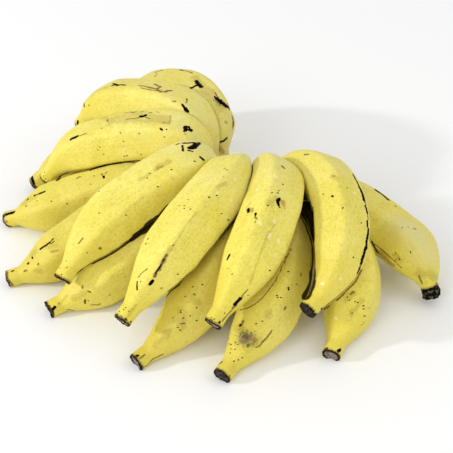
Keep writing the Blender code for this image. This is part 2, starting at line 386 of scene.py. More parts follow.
# For each finger and kind of mark: half-widths in mm, each with the pixels of its path.
MARKS = {
    "upper_1": {
        "black": [
            (1.4, [(196.5, 80), (198, 82.5), (200, 84.8), (202, 86.2)]),
            (0.9, [(198, 84), (193, 86.6), (188.5, 89.3)]), (1.1, [(191.5, 87.4), (188.3, 89.6)]),
            (1.3, [(217.5, 98.5), (222, 101.8), (226, 105), (230, 107.6)]),
            (0.6, [(215.2, 96), (218, 99), (221, 103)]),
            (0.9, [(233.6, 117), (234.6, 121), (234.2, 125.5)]),
            (0.6, [(155, 71.5), (159, 70.2), (162.5, 69.6)]), (0.6, [(179.5, 69.2), (183, 69.5)]),
            (0.6, [(216.8, 138.8), (217.4, 139.8)]),
        ],
        "bruise": [(2.0, [(217, 98), (222, 103), (230, 108)])],
        "brown": [
            (0.6, [(215, 93), (218, 97.5), (221, 101)]), (1.4, [(232.8, 116), (233.8, 121), (233.4, 127)]),
            (0.5, [(157, 73), (154.5, 76)]), (0.6, [(183, 69.6), (188, 70.8), (193, 72.6)]),
        ],
        "rust": [
            (0.5, [(225, 122), (226.4, 123.8), (228.2, 122.6), (227.2, 120.8), (225.2, 121.4)]),
            (1.4, [(218, 147), (222, 150), (224, 152)]),
        ],
        "soft": [(3.0, [(195, 76), (205, 87), (214, 97), (221, 108)])],
        "crevice": [
            (0.7, [(214.6, 142.8), (217, 143.6), (220.5, 142.4), (224, 141), (227.5, 138.8)]),
            (1.0, [(215, 142.2), (216.4, 144.4)]),
        ],
    },
    "upper_2": {
        "black": [
            (1.2, [(112.5, 84.6), (115, 83.8), (118.5, 84.2)]),
            (0.9, [(113, 82.8), (118, 84.6), (121.5, 83.8), (125, 84.2)]),
            (0.8, [(182.2, 103.8), (183.6, 107), (185, 109.6), (189, 110.8)]),
            (1.1, [(184.6, 107.6), (185.4, 109.8)]), (0.4, [(187.4, 98), (187, 100)]),
            (0.7, [(83.6, 101), (83.3, 103.5), (83.4, 106)]), (0.9, [(76.8, 121), (76.7, 124)]),
        ],
        "brown": [
            (0.6, [(138, 84.4), (145, 85.6), (152, 87), (157, 87.6)]),
            (0.5, [(141, 87), (148, 88.6), (156, 90), (163, 91)]),
            (0.9, [(154, 83), (158, 85), (160.5, 86), (157.5, 87.8), (158.5, 89.6), (160.5, 91)]),
            (1.1, [(165, 91), (168, 90), (171, 89.6)]), (0.6, [(172.5, 101), (176, 100.7)]),
        ],
        "rust": [(1.0, [(146, 86), (153, 87.6), (158, 88)]), (1.2, [(166, 91), (171, 90)])],
        "soft": [(2.2, [(90, 94), (97, 90), (106, 86.5)]), (1.6, [(140, 85), (152, 87.5), (166, 91)])],
    },
    "upper_3": {
        "soft": [
            (3.6, [(104, 117), (122, 114.5), (135, 114), (150, 115), (166, 117)]),
            (3.2, [(110, 122), (125, 120), (140, 119.5), (155, 120), (168, 120)]),
        ],
        "rust": [
            (0.8, [(169.8, 115), (170, 120.5), (169.4, 123.4)]), (1.4, [(165, 122), (169, 122.6)]),
            (0.5, [(185.4, 134), (186, 134.2)]),
        ],
        "black": [
            (1.2, [(140, 115.4), (142, 115.8), (144.4, 114.8)]),
            (0.8, [(183.2, 127.2), (186, 126.4), (188.6, 126.2)]),
            (0.8, [(184.4, 130.6), (187, 129), (190, 129)]), (0.7, [(186.6, 127.4), (188.6, 129)]),
            (0.7, [(191.6, 130.2), (192.6, 129.6)]), (0.6, [(159.7, 127.6), (161.4, 129.4)]),
            (1.2, [(70, 138.6), (73.6, 137), (76.6, 135.6)]),
        ],
        "brown": [
            (0.5, [(125, 111.8), (129, 111.4), (133.6, 111.6)]),
            (0.4, [(134, 111.4), (142, 111), (150, 111.4), (158, 111)]),
            (0.5, [(126, 118.6), (133, 117.8), (139, 117)]), (0.5, [(145, 116.8), (150, 118)]),
            (0.6, [(107.4, 118.6), (107.8, 120.4)]), (0.6, [(75, 136.6), (80, 134.6), (85, 133.2)]),
        ],
        "pale": [(0.9, [(108, 116.4), (112.6, 115.6)])],
    },
    "upper_4": {
        "crevice": [
            (1.4, [(168, 206.8), (162.6, 212.8), (158.4, 218)]),
            (2.6, [(158.4, 218), (153.4, 222.4), (147.4, 226.8)]),
            (1.6, [(147.4, 226.8), (141.4, 231.4), (135.6, 236)]),
            (0.9, [(135.6, 236), (129.6, 240.8), (123.6, 245.2)]),
            (0.6, [(123.6, 245.2), (114.4, 251.2), (105.4, 256.4), (96.4, 261), (88.4, 266)]),
        ],
        "black": [
            (1.4, [(190.4, 147), (194, 145.6), (197, 144)]),
            (0.8, [(188.6, 147.2), (192, 148.4), (195.6, 147), (199.4, 142.6)]),
            (0.5, [(182.8, 143), (188, 142.5), (195, 142), (204, 141.6)]),
            (0.6, [(183.4, 145.2), (182.6, 147.6), (183, 150)]),
            (0.6, [(188.8, 149.4), (190.4, 150.6), (192.6, 150.8)]), (0.9, [(201, 156.6), (203, 159)]),
        ],
        "brown": [
            (0.5, [(200, 142), (206, 142.4)]), (0.6, [(176, 143.6), (178, 142.8)]),
            (0.9, [(99.6, 249), (101, 250)]), (0.5, [(78, 243), (82, 238)]),
            (0.6, [(208.4, 162), (210, 163.6)]),
        ],
        "rust": [(1.0, [(157, 168), (162, 165.6)])],
        "soft": [(1.8, [(156, 168), (162, 165), (168.4, 161)]), (1.2, [(138, 180), (150, 173)])],
    },
    "upper_5": {
        "brown": [
            (0.6, [(167.6, 254), (165, 258.6), (161.5, 265), (158, 271.4), (154.6, 277.6)]),
            (0.4, [(137.4, 277), (140, 273.4), (146.8, 268.6)]), (0.5, [(144.8, 269.6), (147, 268.4)]),
            (0.4, [(225, 167.4), (227, 169.4)]),
        ],
        "black": [
            (0.35, [(164.4, 260), (160.6, 267.4), (156.4, 273.6)]), (0.9, [(153, 281.4), (150.8, 284.4)]),
            (0.5, [(136.2, 281.6), (136, 285), (136.4, 289)]),
            (0.8, [(114.4, 317), (116.5, 320), (120.3, 321.5), (124.2, 322.8), (126.8, 318.5)]),
            (0.6, [(126, 324.2), (131.5, 322.6)]),
        ],
        "bruise": [(1.0, [(167.4, 255), (162, 264), (155, 277)])],
        "soft": [
            (1.0, [(197, 212), (186, 227), (177, 240), (169, 253), (160, 270)]),
            (1.6, [(220, 186), (226, 184)]), (0.8, [(137.6, 305), (132.6, 311), (128.5, 317)]),
        ],
        "rust": [(0.5, [(223, 176), (224, 177.4)])],
        "pale": [
            (0.9, [(235.7, 179.6), (236, 180.4)]), (0.9, [(231.6, 200), (231.4, 200.8)]),
            (0.9, [(217.4, 192), (217.6, 192.6)]), (0.9, [(111, 194), (111.6, 195)]),
        ],
        "crevice": [
            (0.9, [(246.6, 199), (244, 206), (241, 212.4)]),
            (0.6, [
                (239.4, 213), (228, 228), (215.8, 244.2), (202.4, 260.2), (187.2, 276.2), (168.8, 292.2),
            ]),
        ],
    },
    "upper_6": {
        "black": [
            (1.0, [(279.6, 198.8), (278.4, 201), (278.2, 203.4)]), (0.5, [(279.6, 206), (280, 207.4)]),
            (1.0, [(247, 209), (248.2, 211)]), (0.7, [(254.4, 213), (255.2, 215)]),
            (0.7, [(283, 165.8), (284.8, 167.6)]), (0.8, [(226.4, 258.4), (228.4, 254.4)]),
            (1.0, [(235.8, 305), (238.8, 301.8), (241.6, 298.8)]),
            (0.8, [(203.4, 316.8), (207.3, 321.5), (210.3, 324.4), (214.6, 326.6), (220.2, 322.8)]),
        ],
        "rust": [
            (1.1, [(282, 201.6), (284, 201.6), (284, 204)]), (0.5, [(284.4, 204), (285, 209)]),
            (1.5, [(248, 208), (251.6, 210.6)]),
        ],
        "brown": [
            (0.6, [(255, 216), (256, 218.4)]), (0.4, [(253.8, 222), (255, 221)]),
            (0.6, [(277.2, 191.2), (278.4, 192)]), (0.5, [(233, 308.4), (236, 305.4)]),
            (0.4, [(241.8, 298.4), (244, 294.6), (248, 290)]),
            (0.5, [(237.4, 306), (230, 314), (223, 322)]),
        ],
        "soft": [
            (2.4, [(268, 204), (276, 198)]), (1.4, [(247, 206), (250, 202)]),
            (0.8, [(277, 222), (268, 236), (260, 256), (250, 285)]),
        ],
        "pale": [
            (0.9, [(263.8, 169.4), (264.4, 169)]), (1.1, [(275, 175.5), (275.6, 176)]),
            (0.9, [(256, 188.8), (256.2, 189.6)]), (1.1, [(260, 222.4), (260.8, 223.4)]),
            (0.9, [(275.8, 221.4), (276, 222.4)]), (1.0, [(270.4, 234.4), (270, 236.4)]),
            (1.0, [(278.6, 240), (278.8, 241.8)]),
        ],
    },
    "upper_7": {
        "black": [
            (0.6, [(354, 174.4), (357.6, 181), (360.4, 187.4)]),
            (1.1, [(360.4, 187.4), (363, 194), (364.6, 200)]),
            (0.8, [(366, 205), (367.2, 209), (368, 213)]), (0.7, [(368.2, 221), (368, 226)]),
            (0.9, [(369, 228), (368.4, 235), (367.6, 242), (366.8, 248)]),
            (0.9, [(366.4, 248), (364.6, 253), (363, 258), (361.8, 264)]),
            (0.7, [(360.4, 269), (358, 274)]), (0.6, [(331.6, 195.4), (332.8, 195.6)]),
            (1.2, [(299.8, 308), (303.9, 312.6), (309.8, 316.1), (312.3, 318)]),
            (0.9, [(312.3, 318), (316.7, 315.6)]), (0.7, [(322, 309.4), (323.6, 310)]),
        ],
        "brown": [
            (0.7, [(364.6, 200), (367, 204.4)]), (0.6, [(368, 213), (368.6, 220)]),
            (1.0, [(361.8, 264), (360.6, 268), (358.6, 273)]),
            # This brown stroke is painted shade along the crevice above lower_7.
            (0.8, [(358, 275.8), (354, 281.2), (349, 287.2), (343.2, 293.2), (336.4, 299), (328, 305)]),
            (0.6, [(304, 153.6), (308, 153.6)]),
        ],
        "rust": [(0.5, [(332, 175), (333.6, 176.6), (334.6, 175)])],
        # The wide soft stroke is painted shade at the top of the pocket beside upper_6.
        "soft": [(2.2, [(332, 176), (338, 179)]), (4.0, [(300, 176), (304, 190), (309, 204)])],
        "crevice": [
            (1.6, [(302, 184), (304, 193), (304.6, 200)]),
            (0.8, [
                (311.6, 208), (312.6, 216), (313, 226), (313.2, 240), (313.6, 256), (314, 264),
                (313.8, 270),
            ]),
            (1.4, [(313.8, 270), (313.4, 276), (312.4, 282)]),
            (2.4, [(312.4, 282), (311, 287.6), (308.6, 292.4), (305.8, 297)]),
        ],
        "pale": [
            (1.3, [(321.4, 282.4), (322, 283.4)]), (0.9, [(354.4, 191.4), (354.8, 192.6)]),
            (0.9, [(341.4, 278), (341.8, 278.6)]),
        ],
    },
    "upper_8": {
        "black": [(1.2, [(376, 189.2), (380, 191.8)]), (0.9, [(380, 191.8), (384, 194.8), (388.6, 198.6)])],
        "brown": [
            (0.6, [(395, 205), (396.2, 205.8)]), (0.6, [(413.4, 227.8), (416.6, 228.6)]),
            (0.4, [(374, 243.6), (380, 249), (387, 255), (394, 262), (400.6, 267.6)]),
            (0.6, [(437.2, 283), (437.8, 284)]), (0.6, [(418.6, 276), (420.2, 280.8), (421.6, 284.2)]),
        ],
        "rust": [
            (1.6, [(376, 250), (384, 258), (393, 266)]),
            (0.6, [(392, 254.4), (397, 254.4), (399, 258.6), (395, 260.4)]),
        ],
        "crevice": [(0.6, [(371.2, 241), (373.8, 247), (377, 253.4)])],
        "soft": [(2.4, [(394, 256), (400, 261)]), (3.0, [(420, 275), (430, 272), (437, 276)])],
        # Partly painted sheen: a pale, greyish haze over the middle of upper_8.
        "bloom_and_painted_sheen": [(11.0, [(405, 224), (417, 234), (428, 250)])],
    },
    "lower_1": {
        "black": [(1.3, [(31, 177), (31.6, 180), (33, 183)]), (0.6, [(33, 183), (35, 187), (38.5, 189)])],
        "crevice": [(0.8, [(50, 180.4), (55.5, 180)]), (1.6, [(56, 179.4), (61, 174.4), (67, 171.6)])],
    },
    "lower_2": {
        "crevice": [
            (1.2, [(57, 179), (62, 174.6), (67, 172)]),
            (0.9, [(90, 169.2), (100, 166.3), (110, 163.8), (120, 162.3)]),
        ],
        "brown": [
            # The first two brown strokes are painted shade along the crevice under upper_3.
            (0.6, [(68, 172.2), (80, 171.8), (90, 169.2)]),
            (0.7, [(118, 162.4), (126, 161.8), (134, 161.8)]), (0.6, [(33, 195.4), (38, 193.6)]),
            (0.7, [(25.4, 205), (26.2, 205.2)]), (0.6, [(101, 173), (101.6, 174.6)]),
            (0.5, [(104.6, 172.8), (107, 171.2)]), (0.5, [(76.4, 178.4), (77.4, 177), (80, 176)]),
        ],
        "black": [
            (0.7, [(38.6, 193.4), (41.6, 192.4), (44.4, 191.2)]), (0.6, [(33, 195.2), (34, 195.2)]),
            (0.7, [(26.6, 199), (27.6, 198.6)]), (0.9, [(102.6, 176.4), (103.4, 176.8)]),
            (1.0, [(3.4, 215.4), (6, 213.4), (10, 212.6), (13.8, 211.2)]),
            (0.6, [(6, 225.6), (8.6, 227), (11.6, 227.2)]),
        ],
        "soft": [(2.2, [(20, 205), (34, 198)])],
        "rust": [(0.6, [(4, 217), (5.6, 223), (7, 222.2)])],
    },
    "lower_3": {
        "black": [
            (0.6, [(39.6, 248.4), (46, 244.4), (49.6, 241.4)]), (0.4, [(49.6, 241.4), (53.4, 238.2)]),
            (0.6, [(31, 256.8), (31.6, 257.8)]), (0.7, [(26.6, 264), (27.8, 262.8)]),
            (0.5, [(11, 270.6), (13, 269.8)]),
        ],
        "brown": [
            (0.6, [(50.4, 243), (54.4, 241)]), (0.8, [(37.4, 263.6), (38, 264.4)]),
            (0.8, [(23.8, 270.6), (25.6, 270.2)]), (0.8, [(7, 271.4), (6.6, 276), (8.4, 281.4), (13, 286)]),
        ],
        "rust": [(1.2, [(51, 251), (56.4, 250)])],
        "soft": [
            (2.6, [(32, 254), (34, 250)]), (2.4, [(37, 271.4), (40, 271.8)]), (2.4, [(44, 246), (54, 246)]),
        ],
    },
    "lower_4": {
        "crevice": [
            (2.2, [(155, 223.4), (150, 226.4), (144, 231)]), (1.4, [(144, 231), (138, 235), (132, 239.2)]),
            (0.6, [(132, 239.2), (124, 245), (114, 251.4), (104, 257), (92, 263)]),
            (1.3, [(90, 261.4), (84, 265), (79, 270)]), (0.8, [(79, 270), (74, 276), (69, 282)]),
        ],
        "brown": [
            (0.7, [(81.6, 287), (82.2, 287.6)]), (0.7, [(88.4, 291.8), (89.2, 292.4)]),
            (0.5, [(91, 306), (95, 305.8), (98.6, 306), (99.8, 304.8)]),
            (0.5, [(67, 311), (70, 310.4), (73.6, 312)]),
        ],
        "black": [
            (0.5, [(85, 300.4), (85.3, 304.4)]), (1.2, [(47, 306), (48.4, 310), (50, 316)]),
            (0.9, [(50, 316), (52, 311), (54.4, 308.4)]),
            (0.7, [(43, 304), (44, 309), (46.4, 314), (50, 318.4)]),
        ],
        "soft": [(2.2, [(72, 298), (84, 292)]), (1.0, [(66, 296), (61, 301), (58, 306)])],
    },
    "lower_5": {
        "crevice": [
            (1.2, [(241, 212.4), (235, 219), (229, 225)]),
            (0.9, [(229, 225), (220, 235), (210, 246.6), (200, 257.6)]),
            (0.8, [(200, 257.6), (190, 268.4), (184, 277), (178, 284.6)]),
            (0.8, [(178, 284.6), (170, 290.6), (164, 297)]),
        ],
        "soft": [
            (3.4, [(181, 313), (180, 320), (183, 328)]), (2.4, [(195, 300), (198, 301)]),
            (2.2, [(153, 346.5), (161, 339), (170, 330)]),
        ],
        "brown": [
            (0.6, [(193.2, 293.6), (194.8, 294.4)]), (0.6, [(179.6, 330.6), (180.4, 331.4)]),
            (0.5, [(182.6, 324), (184.6, 324.6)]), (0.5, [(139.3, 357.3), (144.9, 354.7)]),
            (0.5, [(143.2, 368.5), (147.9, 365.9), (153.1, 360.3), (163.4, 355.1)]),
        ],
        "black": [(0.9, [(134, 355.6), (137, 354.6)])],
    },
    "lower_6": {
        "crevice": [
            (1.1, [(302, 216.8), (306, 225), (309.4, 232.8), (312, 240.4)]),
            (1.0, [(311.4, 239), (313.4, 247), (313.4, 260), (312.4, 272)]),
            (1.9, [(312, 273), (311.6, 283), (309, 290), (304.6, 297)]),
        ],
        # The wide rust stroke is painted shade on the side of lower_6, in the pocket under upper_7.
        "rust": [(2.6, [(313.6, 240), (314, 252), (312.6, 266)]), (1.3, [(254, 339.4), (256, 340.6)])],
        "brown": [
            # The first two brown strokes are painted shade along the crevice under upper_6.
            (0.4, [(290, 248), (285, 261), (280, 270), (275, 280), (269, 289)]),
            (0.4, [(269, 289), (262, 297), (255, 303), (248, 307), (240, 309.6)]),
            (1.1, [(243.4, 336), (246, 338.4)]), (0.7, [(272.4, 331.6), (268.6, 337), (263, 343)]),
            (0.5, [(263, 343), (260.6, 346), (256.6, 347.4)]), (0.8, [(247.2, 345.4), (247.6, 347.4)]),
            (0.7, [(240.6, 324.4), (242.2, 321.4), (243, 319.4)]), (0.8, [(285, 308.6), (286.4, 306.6)]),
            (0.7, [(301.4, 273.8), (301.8, 275.2)]), (0.9, [(229.6, 378.6), (230.6, 376.6)]),
        ],
        "bruise": [(4.2, [(243, 337), (248, 339)]), (2.2, [(244, 337), (247, 338)])],
        "soft": [(6.0, [(239, 332), (252, 342)]), (2.4, [(266, 316), (268, 312)])],
        "black": [
            (0.6, [(240, 325.2), (240.6, 323.8)]), (0.6, [(289, 287.8), (289.4, 288.8)]),
            (0.6, [(221.1, 361), (217, 364.6), (213.8, 369.4)]),
        ],
    },
    "lower_7": {
        "crevice": [(3.4, [(304, 204), (307, 211), (310, 218), (312, 227), (313.4, 238)])],
        "brown": [
            # The first brown stroke is painted shade along the crevice under upper_7.
            (0.6, [(362, 270), (354.8, 281), (344.2, 293), (337, 299), (328.4, 305.4), (323, 309.6)]),
            (0.6, [(350.6, 293), (352.4, 291.8), (354, 291.6)]), (0.5, [(364.6, 315.4), (366.4, 317)]),
        ],
        "soft": [(2.2, [(346, 298), (352, 292)]), (1.8, [(352, 315), (362, 300)])],
        "pale": [(0.9, [(335, 318.1), (335.4, 318.6)]), (0.8, [(328.8, 332.4), (329, 333)])],
        "black": [(1.2, [(323.6, 349.6), (326.4, 350.4)]), (1.0, [(339.4, 351), (341.4, 350.2)])],
    },
}
# Black pinpricks, each by its pixel, with one half-width in mm for all.
PINPRICK = 0.4
PINPRICKS = {
    "upper_2": [(88, 105), (186, 101.6)],
    "upper_3": [
        (166, 129.6), (138.6, 134), (120, 133), (122.6, 141.4), (163.4, 136.6), (99.6, 148), (103, 155),
        (123.6, 157), (127, 156.4), (141, 155), (97, 150.6), (101, 127.4), (43.6, 171.8), (43, 175.8),
        (44.8, 179.3), (48.2, 181.6),
    ],
    "upper_4": [
        (158.6, 187.3), (171.6, 169.6), (98.8, 212.5), (126.4, 214.8), (87.6, 253.4), (195, 161),
        (147, 177), (150, 172.8), (66.4, 266.5), (59.1, 267.1), (60.8, 274), (64.9, 261.4), (98.6, 190.4),
        (145.6, 147.4), (149.4, 150),
    ],
    "upper_5": [
        (187.4, 199), (184.3, 207.5), (179.7, 204.4), (184, 204.5), (190.4, 208.5), (222.4, 214),
        (217.6, 195.4), (146.7, 239), (145.3, 243.5), (173.5, 245.3), (178.6, 274), (161.6, 288.8),
        (228.6, 220), (210, 197.6), (124.6, 307), (122.5, 309), (118.2, 311), (129.8, 311), (121.5, 314.8),
        (120.8, 318), (139.4, 281.6),
    ],
    "upper_6": [
        (227, 268.4), (231.5, 274), (257.5, 292.3), (249, 296.2), (283.2, 183.6), (280, 190.8),
        (272.4, 191.8), (210.3, 316.4), (225.8, 313.3), (213.3, 318.5), (268.6, 204.6), (270.2, 271),
        (226, 239.6),
    ],
    "upper_7": [
        (348, 187), (343.6, 208), (354, 257), (322.6, 194), (311.8, 312.1), (322.7, 309.7), (362, 222),
    ],
    "upper_8": [(402, 227), (409, 226), (409.8, 252.4), (398.8, 259), (395, 253.6)],
    "lower_2": [
        (90, 183.3), (93.6, 175.3), (67.7, 204.5), (50.5, 200.5), (94.4, 197), (36.7, 200.5), (64.4, 227.4),
        (6.9, 222.1),
    ],
    "lower_4": [
        (88.4, 301.6), (82, 285.4), (58.5, 302.7), (67.7, 310.7), (72.9, 311.3), (52.2, 315.3),
        (110, 295.6),
    ],
    "lower_5": [
        (197.4, 321.5), (197.8, 308.2), (190.5, 315.5), (183.2, 318.1), (180, 311), (180, 313), (185, 296),
        (202.4, 284), (192.8, 285.6), (178.4, 328), (172, 318),
    ],
    "lower_6": [
        (228, 338.8), (228.4, 343.5), (230.1, 344.4), (229.7, 348.7), (229.3, 352.1), (235.3, 341.3),
        (237, 343.9), (234.4, 348.2), (234.4, 360.7), (239.2, 360.7), (243.1, 357.7), (278.5, 297.6),
        (281, 296.6), (276, 295), (287.4, 271.4), (286, 256.4), (297.4, 284.6), (255.6, 323), (263, 320.4),
        (240, 334), (251, 333),
    ],
    "lower_7": [
        (355.3, 300.6), (358.3, 302.2), (364.2, 305.5), (364.7, 308.5), (369.8, 308.5), (364.7, 322.3),
        (362.7, 325.5), (351.3, 314.1), (347.6, 296.6), (349, 299.4),
    ],
}
# Seeded marks on each finger's unseen side: kind, count, half-width in mm and the most rings that
# one may cross. They keep off the first and last rings, on the stalk and the neck, and lie only
# where the skin faces away from the camera by a cosine below the last value.
HIDDEN_MARKS = [
    ("black", 7, 0.45, 1),
    ("brown", 3, 0.5, 2),
    ("black", 1, 0.9, 3),
    ("soft", 3, 2.0, 9),
    ("rust", 1, 1.2, 3),
]
HIDDEN_SEED = 300
STALK_RINGS = 25
NECK_RINGS = 12
UNSEEN = -0.35
# A point this many mm from a ray is on it. Further off, each mm aside counts as this many of depth.
ON_RAY = 0.8
ASIDE_COST = 60.0


def ray_through(u, v):
    """Direction from the camera through a pixel of the photograph.

    It is the way ahead plus the pixel's steps from the middle, over the lens's length in pixels.
    """
    right = np.array([1.0, 0.0, 0.0])
    up = np.cross(back, right)
    pixels = CAMERA_LENS / camera.data.sensor_width * PHOTO_SIZE
    middle = PHOTO_SIZE / 2.0
    ray = -back + right * (u - middle) / pixels + up * (middle - v) / pixels
    return ray / np.linalg.norm(ray)


def seen_at(points, u, v):
    """The point of a peel, in mm, that the camera sees at a pixel, or the one nearest to it.

    It is the least deep of the points, where lying off the ray adds to the depth.
    """
    ray = ray_through(u, v)
    away = points - camera_place / MM
    depth = away @ ray
    aside = np.linalg.norm(away - depth[:, None] * ray, axis=1)
    return points[np.argmin(depth + ASIDE_COST * np.maximum(aside - ON_RAY, 0.0))]


def distance_to(points, path):
    """Distance of points from a path: the least of those to the nearest place on each piece."""
    least = np.full(len(points), np.inf)
    for start, stop in zip(path, path[1:]):
        run = stop - start
        share = np.clip((points - start) @ run / max(run @ run, 1e-6), 0.0, 1.0)
        least = np.minimum(least, np.linalg.norm(points - start - share[:, None] * run, axis=1))
    return least


def hidden_marks(name, seed):
    """A few seeded marks on the unseen side, each from one point of the skin to one near it.

    The cosine between the way out of the finger and the way to the camera says which side it is.
    """
    draw = np.random.default_rng(HIDDEN_SEED + seed)
    skin = peels[name]
    outwards = skin - grown[name][1]
    to_camera = camera_place / MM - skin
    lengths = np.linalg.norm(outwards, axis=-1) * np.linalg.norm(to_camera, axis=-1)
    unseen = np.einsum("ijk,ijk->ij", outwards, to_camera) < UNSEEN * lengths
    rings, sides = np.nonzero(unseen[STALK_RINGS:-NECK_RINGS])
    found = []
    for kind, count, half_width, length in HIDDEN_MARKS:
        for pick in draw.integers(0, len(rings), count):
            ring, side = rings[pick] + STALK_RINGS, sides[pick]
            far_ring = np.clip(ring + draw.integers(-length, length + 1), 0, PEEL_RINGS - 1)
            far_side = (side + draw.integers(-length // 3, length // 3 + 1)) % PEEL_SIDES
            path = [skin[ring, side], skin[far_ring, far_side]]
            found.append((kind, half_width * draw.uniform(0.7, 1.3), path))
    return found


def mark_fields(name, seed):
    """For each kind of mark, 1 on its line, 0.5 at its edge and 0 at twice its half-width."""
    points = peels[name].reshape(-1, 3)
    fields = {kind: np.zeros(len(points)) for kind in MARK_KINDS}
    marks = [
        (kind, half_width, [seen_at(points, u, v) for u, v in pixels])
        for kind, strokes in MARKS[name].items()
        for half_width, pixels in strokes
    ]
    marks += [("black", PINPRICK, [seen_at(points, u, v)] * 2) for u, v in PINPRICKS.get(name, [])]
    for kind, half_width, path in marks + hidden_marks(name, seed):
        strength = 1.0 - distance_to(points, path) / (2.0 * half_width)
        fields[kind] = np.maximum(fields[kind], strength)
    return fields


# The peel: waxy, ripe banana skin, lemon yellow with a paler bloom on the shoulders that is partly
# a painted sheen. The eye gets a soft satin gloss, clouds of deeper yellow, faint lengthwise fibres
# and brown freckles in drifts, and at the neck the skin dries to a dark crust where the blossom
# end begins.
# Each kind of node: Blender's name, its settings, the sockets that its values go into, its result.
NODES = {
    "number": ("ShaderNodeAttribute", {}, (), "Fac"),
    "vector": ("ShaderNodeAttribute", {}, (), "Vector"),
    "stretch": ("ShaderNodeVectorMath", {"operation": "MULTIPLY"}, (0, 1), 0),
    "sum": ("ShaderNodeMath", {"operation": "ADD"}, (0, 1), 0),
    "less": ("ShaderNodeMath", {"operation": "SUBTRACT"}, (0, 1), 0),
    "times": ("ShaderNodeMath", {"operation": "MULTIPLY"}, (0, 1), 0),
    "most": ("ShaderNodeMath", {"operation": "MAXIMUM"}, (0, 1), 0),
    "noise": ("ShaderNodeTexNoise", {}, ("Vector", "Scale", "Detail"), "Fac"),
    "cells": ("ShaderNodeTexVoronoi", {}, ("Vector", "Scale"), "Distance"),
    "red": ("ShaderNodeSeparateColor", {}, (0,), 0),
    "range": ("ShaderNodeMapRange", {}, ("Value", "To Min", "To Max"), "Result"),
    "step": (
        "ShaderNodeMapRange",
        {"interpolation_type": "SMOOTHSTEP"},
        ("Value", "From Min", "From Max"),
        "Result",
    ),
    "mix": ("ShaderNodeMix", {"data_type": "RGBA"}, (0, 6, 7), 2),
    "bump": ("ShaderNodeBump", {}, ("Height", "Strength", "Distance"), 0),
}
# The soft edge of a dot, in mm.
DOT_EDGE = 0.2
# The fibres are noise whose place runs this much slower along the finger than across it.
FIBRE_STRETCH = (1.0, 1.0, 0.07)
PEEL_IOR = 1.45
PEEL_ROUGHNESS = 0.42
# The skin's gloss, and what dead tissue loses of it.
PEEL_GLOSS = 0.28
DEAD_LOSS = 0.22
# The relief's strength, and its height in mm.
PEEL_RELIEF = 0.3
# How far the dry black of the blossom end has crept up the neck, in mm; elsewhere it's a thin rim.
DRY_NECKS = {"upper_8": 7.5, "upper_7": 0.8, "upper_1": 3.0}
DRY_RIM = 0.2
# How dull and olive each finger is tinted, from 0 to 1: partly the skin's own tone and partly
# painted shade, mostly on the lower fingers, which lie under the upper row.
DULLNESS_AND_PAINTED_SHADE = {
    "upper_1": 0.35, "upper_2": 0.2, "upper_3": 0.1, "upper_6": 0.05, "upper_7": 0.2, "upper_8": 0.3,
    "lower_1": 0.55, "lower_2": 0.45, "lower_3": 0.6, "lower_4": 0.05, "lower_5": 0.6, "lower_6": 0.35,
    "lower_7": 0.05,
}
# Each finger takes the patterns this many mm further on, so that no two are alike.
PEEL_SHIFT = 60.0


def linear(hexadecimal):
    """Linear colour with alpha from an sRGB hex value, by the sRGB curve."""
    value = int(hexadecimal.lstrip("#"), 16)
    shade = np.array([value >> 16 & 255, value >> 8 & 255, value & 255]) / 255.0
    bent = np.where(shade <= 0.04045, shade / 12.92, ((shade + 0.055) / 1.055) ** 2.4)
    return (*bent.tolist(), 1.0)


def add(tree, kind, *values, **settings):
    """Adds one shader node with its settings, and its values or links, and gives its result."""
    blender_name, usual, sockets, result = NODES[kind]
    node = tree.nodes.new(blender_name)
    for name, setting in {**usual, **settings}.items():
        setattr(node, name, setting)
    for socket, value in zip(sockets, values, strict=True):
        if isinstance(value, bpy.types.NodeSocket):
            tree.links.new(value, node.inputs[socket])
        else:
            node.inputs[socket].default_value = value
    return node.outputs[result]


def two_tone(tree, pattern, low, high, under, over):
    """Colour that goes from under to over where the pattern steps from low to high."""
    return add(tree, "mix", add(tree, "step", pattern, low, high), under, over)


def dots(tree, place, spacing_mm, least_mm, most_mm):
    """Round dots, at most one for each cell of the spacing: 1 inside, 0 outside.

    Each cell draws a radius between least and most, and one below 0 leaves the cell empty.
    """
    distance = add(tree, "cells", place, 1.0 / spacing_mm)
    lot = add(tree, "red", distance.node.outputs["Color"])
    radius = add(tree, "range", lot, least_mm / spacing_mm, most_mm / spacing_mm)
    return add(tree, "step", add(tree, "less", radius, distance), 0.0, DOT_EDGE / spacing_mm)


